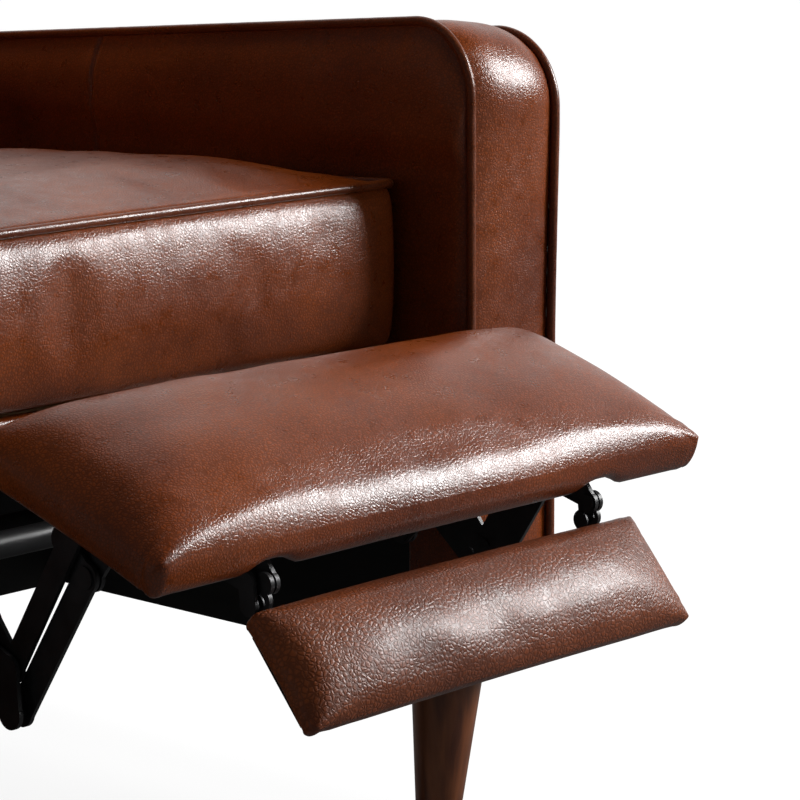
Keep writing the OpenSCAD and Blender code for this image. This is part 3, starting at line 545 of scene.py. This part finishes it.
seat_w, seat_l, seat_h, seat_y, seat_z = 476.0, 470.0, 118.0, 60.0, 362.3
half_w, half_l = seat_w / 2, seat_l / 2
base, normal = outline(half_w, half_l, 12, 4.0)
bottom_rings, top_rings = 24, 64
to_corner = np.hypot(half_w - np.abs(base[:, 0]), half_l - np.abs(base[:, 1]))
far_corner = 1 - np.exp(-np.minimum(to_corner, 400) / 16.0)
is_front = np.clip(-normal[:, 1], 0, 1)
rows = []
heights = np.linspace(0, 1, 46)
for height in heights:
    under, over = (1 - height) * seat_h, height * seat_h
    bulge = 9.5 * is_front + 4.0 * (1 - is_front)
    bulge = bulge * (1 - math.exp(-under / 11.0)) * (1 - math.exp(-over / 14.0)) * far_corner
    bulge = bulge + 2.5 * is_front * far_corner * math.sin(math.pi * height)
    fold = 1.5 * ripple(base[:, 0] / 13.0, 71) * is_front * math.sin(math.pi * height) ** 1.2
    fold = fold * np.exp(-((base[:, 0] + 125) / 70.0) ** 2)
    tuck = 2.6 * (math.exp(-height * seat_h / 4.0) + math.exp(-(1 - height) * seat_h / 4.0))
    rows.append((4.5 + tuck - bulge - fold, 3.5 + (seat_h - 5.5) * height))
side_rows = stack(base, normal, rows)


def seat_top(x, y, f):
    """Crown of the seat: full and boxy across, rounder from front to back, falling to the seam."""
    u, v = np.abs(x / half_w), y / half_l
    edge = 1 - np.exp(-f * half_l / 16.0)
    dome = (1 - u ** 5) * (1 - np.abs(v) ** 3)
    return seat_h - 2.0 + 2.2 * edge + 23.5 * dome ** 0.95 + 0.9 * drift(x, y, 91, 90.0) * edge


top = lid(side_rows[-1], seat_top, top_rings, 1.15)
bottom = lid(side_rows[0], lambda x, y, f: 0.6 + 2.4 * np.exp(-f * half_l / 10.0), bottom_rings)[::-1]
seat_grid = np.concatenate([bottom, np.array(side_rows), top])
gather = ripple((base[:, 0] - base[:, 1]) / 5.0, 55)[None, :] * 0.28
near_seam = np.exp(-((seat_grid[..., 2] - seat_h + 6) / 10.0) ** 2)
near_seam[:bottom_rings] = 0
seat_grid = seat_grid + facing(seat_grid) * (gather * near_seam)[..., None]
place = np.array([0, seat_y + half_l, seat_z])


def wedge(grid):
    """The cushion is thinner at the back: heights shrink evenly from front to back by 19 mm at the top."""
    g = np.array(grid, float)
    g[..., 2] *= 1 - 19.0 / seat_h * (g[..., 1] + half_l) / seat_l
    return g


def points_of(mesh):
    """The places of a mesh's points, in its own order."""
    co = np.empty(len(mesh.vertices) * 3)
    mesh.vertices.foreach_get("co", co)
    return co.reshape(-1, 3)


def finder(points):
    """A search tree for the nearest of these points."""
    search = KDTree(len(points))
    for k, p in enumerate(points):
        search.insert(p, k)
    search.balance()
    return search


def as_modified(piece):
    """A new mesh of an object as its modifiers leave it."""
    return bpy.data.meshes.new_from_object(piece.evaluated_get(bpy.context.evaluated_depsgraph_get()))


def blown(grid, fixed, cap, force, slack):
    """Settles a cushion's leather over its foam. The closed grid is remeshed to even cells and simulated
    as cloth: slack is how much wider than its form the leather is cut, tighter if negative, force is the
    push of the foam, and the points where fixed is one stay put, with a smooth change to zero. Each point
    of the grid then moves by the mean of the nearest cloth points' movement, weighted by a bell curve of
    their distance, and held under cap by a hyperbolic tangent, all in millimetres."""
    places = grid.reshape(-1, 3) / 1000.0
    form = bpy.data.meshes.new("cloth_start")
    form.from_pydata(places.tolist(), [], cells(*grid.shape[:2]))
    tidy(form)
    cloth = bpy.data.objects.new("cloth_start", form)
    scene.collection.objects.link(cloth)
    even = cloth.modifiers.new("even", "REMESH")
    even.mode, even.voxel_size = "VOXEL", 0.006
    smooth = as_modified(cloth)
    cloth.modifiers.clear()
    cloth.data = smooth
    start = points_of(smooth)
    on_grid = finder(places)
    hold = fixed.reshape(-1)[[on_grid.find(p)[1] for p in start]]
    pins = cloth.vertex_groups.new(name="fixed")
    for tenths in range(1, 11):
        pins.add(np.flatnonzero(np.round(hold * 10) == tenths).tolist(), tenths / 10.0, "REPLACE")
    sim = cloth.modifiers.new("leather", "CLOTH")
    sim.settings.vertex_group_mass = "fixed"
    sim.settings.quality = 4
    sim.settings.mass = 0.3
    sim.settings.tension_stiffness = sim.settings.compression_stiffness = 12.0
    sim.settings.bending_stiffness = 1.5
    sim.settings.use_pressure = True
    sim.settings.uniform_pressure_force = force
    sim.settings.shrink_min = -slack
    sim.settings.effector_weights.gravity = 0.0
    sim.collision_settings.use_collision = False
    last_step = 20
    sim.point_cache.frame_start, sim.point_cache.frame_end = 1, last_step
    for step in range(1, last_step + 1):
        scene.frame_set(step)
    moved = (points_of(as_modified(cloth)) - start) * 1000.0
    bpy.data.objects.remove(cloth)
    scene.frame_set(1)
    on_cloth = finder(start)
    neighbours, reach = 28, 0.009
    near = [on_cloth.find_n(p, neighbours) for p in places]
    index = np.array([[q[1] for q in group] for group in near])
    weight = np.exp(-(np.array([[q[2] for q in group] for group in near]) / reach) ** 2)
    move = (moved[index] * (weight / weight.sum(1, keepdims=True))[..., None]).sum(1)
    size = np.linalg.norm(move, axis=1, keepdims=True)
    move = move * cap * np.tanh(size / cap) / np.maximum(size, 1e-6)
    return grid + (move * (1 - fixed.reshape(-1, 1))).reshape(grid.shape)


def welt(base, normal, inset, height):
    """A closed cord in the seam round a panel: the outline moved inwards by the inset, at that height."""
    seam = np.concatenate([base - normal * inset, np.full((len(base), 1), height)], 1)
    cord = pipe(np.concatenate([seam, seam[:2]]), radius=3.3, count=12)[:-1]
    cord[0] = cord[-1]
    return cord


top_far = np.linspace(0, 1, top_rings + 1)[1:] ** 1.15 * half_l
from_seam = np.concatenate([np.zeros(bottom_rings), np.minimum(heights, 1 - heights) * seat_h, top_far])
held = np.clip(1.5 - from_seam / 8.0, 0, 1)[:, None] * np.ones(len(base))
seat_grid = blown(seat_grid, held, cap=2.0, force=0.6, slack=0.003)
seat = net("seat_cushion_leather", wedge(seat_grid) + place, material=hide, body="seat",
           replaces=("seat_cushion",))
net("seat_piping", wedge(welt(base, normal, 4.0, seat_h - 1.0)) + place, material=hide_piping_shaded, body="seat")

# Main footrest pad: a plywood board with foam on it, wrapped in one piece of leather that is pulled
# over rounded edges, folded at the corners and stapled under the board. It has no piping.
tilt = math.radians(18.5)
tip = np.array([0.0, -192.0, 319.0])
turn_pad = np.array([[1, 0, 0], [0, math.cos(tilt), math.sin(tilt)], [0, -math.sin(tilt), math.cos(tilt)]])


def wrapped_pad(width, length, edge, crown, corner, roll, lip, deep, seed, sag, power, waist, skew=0.0):
    """A pad wrapped over its edges. Rings climb from inside the lip under the board, hang down by sag,
    go out to the widest line and over a rounded shoulder to the top. The crown is a dome, one minus the
    power of the place across and along, and the shoulder is a quarter of an ellipse, roll wide. Waist
    is how far the ends draw in halfway along, and skew lowers the crown towards the right."""
    a, b = width / 2, length / 2
    base, normal = outline(a, b, corner, 1.6, 80, 12)
    at_end = np.abs(base[:, 0] / a) ** 12
    base[:, 0] -= (waist - 1.6) * np.sign(base[:, 0]) * at_end * (1 - (base[:, 1] / b) ** 2)
    to_corner = np.hypot(a - np.abs(base[:, 0]), b - np.abs(base[:, 1]))
    free = np.clip(np.abs(np.abs(base[:, 0]) - 146.5) / 20.0 - 0.25, 0, 1)
    hang = sag * np.maximum(free * free * (3 - 2 * free), np.where(base[:, 1] > 0, 1.0, 0.0))
    rings = [(lip + 0.4, 0.3), (lip * 0.8, 0.2 - 0.75 * hang), (lip * 0.45, 0.1 - hang)]
    wide = edge * 0.40
    for degrees in np.linspace(-60, 0, 9):
        angle = math.radians(degrees)
        inset = lip * 0.42 * (1 - math.cos(angle)) * 1.4
        rings.append((inset, wide * (1 + math.sin(angle)) - hang * (1 - (degrees + 60) / 60.0) * 0.9))
    rows = stack(base, normal, rings)
    f = np.linspace(0, 1, 96)[1:] ** 1.35
    xy = rows[-1][None, :, :2] * (1 - f)[:, None, None]
    x, y = xy[..., 0], xy[..., 1]
    dx = (a - waist * (1 - (y / b) ** 2) - np.abs(x)) / roll[0]
    dy = (b - np.abs(y)) / roll[1]
    near = 1 / np.sqrt(1 / np.maximum(dx, 1e-3) ** 2 + 1 / np.maximum(dy, 1e-3) ** 2)
    t = np.clip(np.minimum(near * 1.06, np.minimum(dx, dy)), 0, 1)
    shoulder = np.sqrt(np.clip(1 - (1 - t) ** 2.2, 0, 1))
    lengthwise = 1 - np.abs(y / b) ** np.where(y < 0, power[1], power[2])
    dome = (1 - skew * x / a) * (1 - np.abs(x / a) ** power[0]) * lengthwise
    z = wide + (edge - wide) * shoulder + crown * dome + drift(x, y, seed, 75.0) * 0.7 * t
    top = np.concatenate([xy, z[..., None]], -1)
    high = rows[0].copy()
    high[:, 2] = deep + 0.2
    centre = np.zeros_like(high)
    centre[:, 2] = deep + 0.2
    grid = np.concatenate([centre[None], high[None], np.array(rows), top])
    pleat = ripple((base[:, 0] * 0.8 + base[:, 1] * 1.3) / 3.2, seed + 5)
    pleat = np.exp(-((to_corner - 12) / 9.0) ** 2) * pleat
    weight = np.zeros(grid.shape[0])
    weight[4:14] = 0.8
    weight[14:38] = np.linspace(0.8, 0, 24)
    fixed = np.clip(1.3 - np.arange(grid.shape[0]) / 9.0, 0, 1)
    fixed[:5] = 1.0
    grid = blown(grid, fixed[:, None] * np.ones(len(base)), cap=1.5, force=1.2, slack=-0.004)
    return grid + facing(grid) * (weight[:, None] * pleat[None, :] * 0.8)[..., None]


pad_grid = wrapped_pad(width=488.0, length=166.0, edge=25.0, crown=23.0, corner=9.0, roll=(36.0, 20.0),
                       lip=12.0, deep=9.0, seed=101, sag=7.0, power=(6.0, 1.8, 4.6), waist=3.0, skew=0.16)
pad_grid = (pad_grid + np.array([0, 76.5, 0])) @ turn_pad + tip
pad = net("footrest_pad_leather", pad_grid, material=hide, body="footrest", replaces=("footrest_pad",))

# Flipper: a second, narrower pad on its own board, hinged under the front edge of the main pad. Its
# leather is of a coarser grain and wrapped in the same way.
drop = math.radians(50.1)
turn_flip = np.array([[1, 0, 0], [0, math.cos(drop), math.sin(drop)], [0, -math.sin(drop), math.cos(drop)]])
flip_top = np.array([0.0, -207.5, 299.0])
flip_grid = wrapped_pad(width=342.0, length=78.0, edge=17.0, crown=15.0, corner=6.0, roll=(22.0, 12.0),
                        lip=5.0, deep=9.0, seed=131, sag=1.5, power=(5.0, 2.2, 2.2), waist=2.5)
flip_grid = (flip_grid + np.array([0, -38.5, -20.0])) @ turn_flip + flip_top
flipper = net("flipper_pad_leather", flip_grid, material=hide_coarse, body="flipper",
              replaces=("flipper_pad",))

# Back cushion: foam on the webbing of the back frame, in a boxed leather cover with piping round its
# front panel. It leans with the frame.
lean = math.radians(20)
hinge = np.array([0.0, 640.0, 400.0])
turn_back = np.array([[1, 0, 0], [0, math.cos(lean), -math.sin(lean)], [0, math.sin(lean), math.cos(lean)]])


def on_back(grid):
    """From the back's own axes, across, backwards and upwards from its hinge, to the chair's."""
    return grid @ turn_back + hinge


back_w, back_l, back_t = 472.0, 600.0, 88.0
bw, bl = back_w / 2, back_l / 2
base_b, normal_b = outline(bw, bl, 32, 5.0, 100, 16)
corner_b = 1 - np.exp(-np.hypot(bw - np.abs(base_b[:, 0]), bl - np.abs(base_b[:, 1])) / 60.0)
rear_rings, front_rings, crown_reach = 10, 64, 238.0
depths = np.linspace(0, 1, 34)
rows = []
for depth in depths:
    bulge = 3.5 * corner_b * math.sin(math.pi * depth) ** 0.8
    tuck = 2.6 * math.exp(-(1 - depth) * back_t / 4.0)
    rows.append((4.5 + tuck - bulge, (back_t - 2.0) * depth))
sides_b = stack(base_b, normal_b, rows)


def back_front(x, y, f):
    """Crown of the back cushion: full over the lower back, easing towards the head."""
    u, v = np.abs(x / bw), y / bl
    edge = 1 - np.exp(-f * crown_reach / 18.0)
    dome = (1 - u ** 3.0) * (1 - np.abs(v) ** 3.0)
    lumbar = 4.0 * np.exp(-((v - 0.45) / 0.4) ** 2) * (1 - u ** 2)
    crown = back_t - 2.0 + 2.0 * edge + 11.0 * dome ** 0.9 + lumbar * edge * 0.6
    return crown + drift(x, y, 171, 120.0) * edge


front_b = lid(sides_b[-1], back_front, front_rings, 1.15)
rear_b = lid(sides_b[0], lambda x, y, f: 0.0, rear_rings)[::-1]
back_grid = np.concatenate([rear_b, np.array(sides_b), front_b])
seam_b = np.exp(-((back_grid[..., 2] - back_t + 5) / 10.0) ** 2)
seam_b[:rear_rings] = 0
gather_b = ripple((base_b[:, 0] - base_b[:, 1]) / 5.0, 155)[None, :] * 0.25
back_grid = back_grid + facing(back_grid) * (gather_b * seam_b)[..., None]
front_far = np.linspace(0, 1, front_rings + 1)[1:] ** 1.15 * crown_reach
from_seam_b = np.concatenate([np.zeros(rear_rings), (1 - depths) * back_t, front_far])
held_b = np.clip(1.5 - from_seam_b / 9.0, 0, 1)
held_b[:rear_rings + 3] = 1.0
back_grid = blown(back_grid, held_b[:, None] * np.ones(len(base_b)), cap=5.0, force=0.6, slack=0.005)
back_shift = np.array([0, -22.3, 312.0])


def stood(grid):
    """Stands a flat cushion up: its thickness points forwards, its length down the back."""
    g = np.asarray(grid, float)
    return on_back(np.stack([g[..., 0], -g[..., 2], -g[..., 1]], -1) + back_shift)


back = net("back_cushion_leather", stood(back_grid), material=hide, body="back", replaces=("back_cushion",))
net("back_piping", stood(welt(base_b, normal_b, 4.6, back_t - 1.0)), material=hide_piping_shaded, body="back")

# Back cover: leather over thin foam, pulled round the back frame and over its top, with a seam down
# each edge of the back panel. It is stapled inside the front edges of the posts.
wrap_w, wrap_front, wrap_back, wrap_r, wrap_low, wrap_high = 236.0, -24.0, 34.0, 12.0, -28.0, 606.0


def wrap_line():
    """The cover's outline seen from above: back along one side, round a corner, across, round, forward."""
    a = np.radians(np.linspace(0, 90, 14))
    y = np.linspace(wrap_front, wrap_back - wrap_r, 16)[:-1]
    side = np.stack([np.full_like(y, wrap_w), y], -1)
    bend = np.stack([wrap_w - wrap_r + wrap_r * np.cos(a), wrap_back - wrap_r + wrap_r * np.sin(a)], -1)
    x = np.concatenate([np.linspace(0, wrap_w - wrap_r, 60)[:-1], np.linspace(212, 223.5, 14)])
    x = np.unique(x)[::-1]
    half = np.concatenate([side, bend, np.stack([x, np.full_like(x, wrap_back)], -1)])
    other = half[::-1][1:] * np.array([-1, 1])
    facing_out = np.concatenate([np.tile([1.0, 0.0], (len(y), 1)), np.stack([np.cos(a), np.sin(a)], -1),
                                 np.tile([0.0, 1.0], (len(x), 1))])
    other_out = facing_out[::-1][1:] * np.array([-1, 1])
    return np.concatenate([half, other]), np.concatenate([facing_out, other_out])


wrap, wrap_n = wrap_line()
up_rows = np.linspace(wrap_low, wrap_high - wrap_r, 90)
a = np.radians(np.linspace(0, 90, 10))[1:]
rise = np.concatenate([up_rows, wrap_high - wrap_r + wrap_r * np.sin(a)])
draw_in = np.concatenate([0 * up_rows, wrap_r * (1 - np.cos(a))])
panel = np.clip(wrap_n[:, 1], 0, 1)[None, :] * np.ones((len(rise), 1))
from_middle = np.abs(2 * (rise - wrap_low) / (wrap_high - wrap_low) - 1)
crown = 2.4 * (1 - (wrap[:, 0] / wrap_w) ** 4)[None, :] * (1 - from_middle ** 6)[:, None]
dip = -1.3 * np.exp(-((np.abs(wrap[:, 0]) - 218.0) / 1.3) ** 2)[None, :]
stand_off = panel * (crown + dip + 0.5 * drift(wrap[None, :, 0], rise[:, None], 211, 110.0))
drawn = draw_in[:, None] * np.clip(wrap_n[:, 1] * 1.5 + 0.25, 0, 1)[None, :]
flat = wrap[None] + wrap_n[None] * (stand_off - drawn)[..., None]
sides_w = np.concatenate([flat, np.broadcast_to(rise[:, None, None], flat.shape[:2] + (1,))], -1)
t = np.linspace(0, 1, 12)[1:, None]
rim_x, rim_y, rim_z = sides_w[-1].T
lid_w = np.stack([rim_x + 0 * t, rim_y * (1 - t) + wrap_front * t, rim_z + 0 * t], -1)
cover_grid = np.concatenate([sides_w, lid_w])
cover_grid[..., 0] = np.clip(cover_grid[..., 0], -wrap_w, wrap_w)
cover = net("back_cover_leather", on_back(cover_grid), wrap=False, material=hide, body="back",
            replaces=("back_cover",))
shell = cover.modifiers.new("thickness", "SOLIDIFY")
shell.thickness, shell.offset = 0.0014, -1.0

# Seat border: padded leather over the front rail of the seat frame, stapled under it. Its ends are
# drawn in a little.
edge_w, edge_y0, edge_y1, edge_z0, edge_z1 = 236.0, 70.0, 83.9, 326.4, 361.4
a = np.linspace(0, 2 * np.pi, 60, endpoint=False)
fold = np.stack([np.sign(np.cos(a)) * np.abs(np.cos(a)) ** 0.42,
                 np.sign(np.sin(a)) * np.abs(np.sin(a)) ** 0.30], -1)
mid_e = np.array([(edge_y0 + edge_y1) / 2, (edge_z0 + edge_z1) / 2])
half_e = np.array([(edge_y1 - edge_y0) / 2, (edge_z1 - edge_z0) / 2])
end_in = 4.0 * (1 - np.cos(np.radians(np.linspace(0, 90, 7))))
xs = np.concatenate([-edge_w + end_in, np.linspace(-edge_w + 5, edge_w - 5, 140), edge_w - end_in[::-1]])
close = 1 - 0.16 * np.exp(-(edge_w - np.abs(xs)) / 1.2)
ring = mid_e + fold[None] * half_e * close[:, None, None]
swell = 0.7 + 0.5 * ripple(xs / 30.0, 221)[:, None]
ring[..., 0] -= np.clip(-fold[None, :, 0], 0, 1) * swell * (close[:, None] > 0.99)
edge_grid = np.concatenate([np.broadcast_to(xs[:, None, None], ring.shape[:2] + (1,)), ring], -1)
border = net("seat_border_leather", edge_grid, first=True, last=True, material=hide, body="seat",
             replaces=("seat_border",))

# Legs and their glides: legs turned from hardwood and tapered, stained walnut brown, screwed up into
# the arms, each on a moulded glide.
walnut, tree, shader, where = new_material("walnut_stain")
grain = node(tree, "Mapping", {"Vector": where, "Scale": (95, 95, 4.5)}).outputs["Vector"]
streaks, pores = noise(tree, grain, 1.0, 7.0, Distortion=0.4), noise(tree, grain, 5.0, 3.0)
browns = ramp(tree, streaks, (0.30, (0.070, 0.018, 0.006)), (0.72, (0.230, 0.072, 0.022)))
feed(tree, shader, {"Base Color": browns, "Normal": relief(tree, pores, 0.0003, 0.25), "Roughness": 0.33,
                    "Coat Weight": 0.25, "Coat Roughness": 0.2})


def turned_leg(x, y, tilt_deg):
    """A turned leg: the radius falls evenly from 27.5 mm at the body to 16 mm at the foot, with a small
    round at the foot's edge. The axis leans back, and top and foot are cut level."""
    h = np.concatenate([[0, 0.6, 1.6, 3.2, 6], np.linspace(10, 126, 30)])
    r = 16.0 + h / 126.0 * 11.5
    r[:4] -= np.array([2.2, 1.0, 0.35, 0.08])
    a = np.linspace(0, 2 * np.pi, 64, endpoint=False)
    z = 4.0 + h
    cy = y + (arm_low - z) * math.tan(math.radians(tilt_deg))
    across, along = r[:, None] * np.cos(a), r[:, None] * np.sin(a)
    return np.stack([x + across, cy[:, None] + along, np.broadcast_to(z[:, None], across.shape)], -1)


leg_x = arm_in + 41.25
for tag, x_leg, y_leg, lean_leg in (("fl", -leg_x, 60.5, 4.7), ("fr", leg_x, 60.5, 4.7),
                                    ("rl", -leg_x, 685.0, 9.0), ("rr", leg_x, 685.0, 9.0)):
    net(f"leg_turned_{tag}", turned_leg(x_leg, y_leg, lean_leg), first=True, last=True, material=walnut,
        body="base", replaces=(f"leg_{tag}",))

# Wood that upholstery hides: sawn hardwood rails and posts, and plywood arm panels and boards. Arm
# panels, boards and the rails across the base are coloured near black, a painted shade for the dark
# space under the seat and pads, so that nothing pale shows.


def wood(name, pale, dark, scale, direction):
    """Wood: streaks of noise stretched along the grain, with a rough sawn surface."""
    made, tree, shader, where = new_material(name)
    spread = [scale if axis != direction else scale * 0.06 for axis in "XYZ"]
    grain = node(tree, "Mapping", {"Vector": where, "Scale": spread}).outputs["Vector"]
    streaks = noise(tree, grain, 1.0, 8.0, Distortion=0.5)
    feed(tree, shader, {"Base Color": ramp(tree, streaks, (0.3, dark), (0.7, pale)),
                        "Normal": relief(tree, streaks, 0.0004, 0.35), "Roughness": 0.7})
    return made


def dress(material, *names):
    """Gives CAD nodes a material in place of their plain one."""
    for name in names:
        nodes[name].data.materials.clear()
        nodes[name].data.materials.append(material)


for names, way, direction in ((("seat_cross_rails", "back_rails"), "across", "X"),
                              (("seat_side_rails",), "lengthwise", "Y"), (("back_posts",), "upright", "Z")):
    dress(wood(f"sawn_wood_{way}", (0.50, 0.33, 0.18), (0.34, 0.20, 0.10), 90, direction), *names)
# Near black colour: a painted shade for the dark space under the seat and pads.
ply_black_shade = wood("plywood_black_painted_shade", (0.012, 0.011, 0.010), (0.005, 0.005, 0.005), 60, "Y")
dress(ply_black_shade, "cross_rails", "arm_panel_l", "arm_panel_r", "footrest_board", "flipper_board")

# Mechanism: links, rails, brackets and plates punched from steel strip and powder coated black, round
# tubes across, and rivets, pins and bolts in zinc. The springs are bent from drawn wire.


def metal(name, base, gloss, metallic, speck=0.0, wear=0.0):
    """Steel, painted or bare: its roughness and colour wander a little with noise, and the paint has
    the fine orange peel of powder coating."""
    made, tree, shader, where = new_material(name)
    cloud, peel = noise(tree, where, 60.0, 5.0), noise(tree, where, 500.0)
    dull = [c * (1 - speck) for c in base]
    bright = [min(1, c * (1 + speck) + wear) for c in base]
    feed(tree, shader, {"Base Color": ramp(tree, cloud, (0.35, dull), (0.75, bright)), "Metallic": metallic,
                        "Roughness": mapped(tree, cloud, (0.0, 1.0), (gloss - 0.08, gloss + 0.1)),
                        "Normal": relief(tree, peel, 0.0001, 0.25)})
    return made


black = metal("black_powder_coat", (0.012, 0.012, 0.013), 0.42, 0.0, 0.3, 0.004)
zinc = metal("zinc_plate", (0.52, 0.52, 0.50), 0.34, 1.0, 0.15)
wire = metal("drawn_wire", (0.20, 0.20, 0.20), 0.40, 1.0, 0.2)
plastic = metal("moulded_glide", (0.02, 0.02, 0.02), 0.55, 0.0, 0.2)
dress(black, "base_plate_l", "base_plate_r", "base_tube", "drive_arms", "front_swing_links", "rear_swing_links",
      "seat_rail_l", "seat_rail_r", "seat_tubes", "back_hinges", "rear_links", "torque_tube", "front_links",
      "upper_links", "lower_links", "flipper_links", "footrest_brackets", "hinge_brackets", "flipper_brackets")
dress(zinc, "base_bolts", "swing_pins", "link_pins", "spring_clips")
dress(wire, "seat_springs")
dress(plastic, "glides")

# Webbing of the back: woven elastic bands, stapled across the back frame under the cushion, with the
# same black weave as the cloth under the arms.
dress(dust_cloth, "back_webbing")
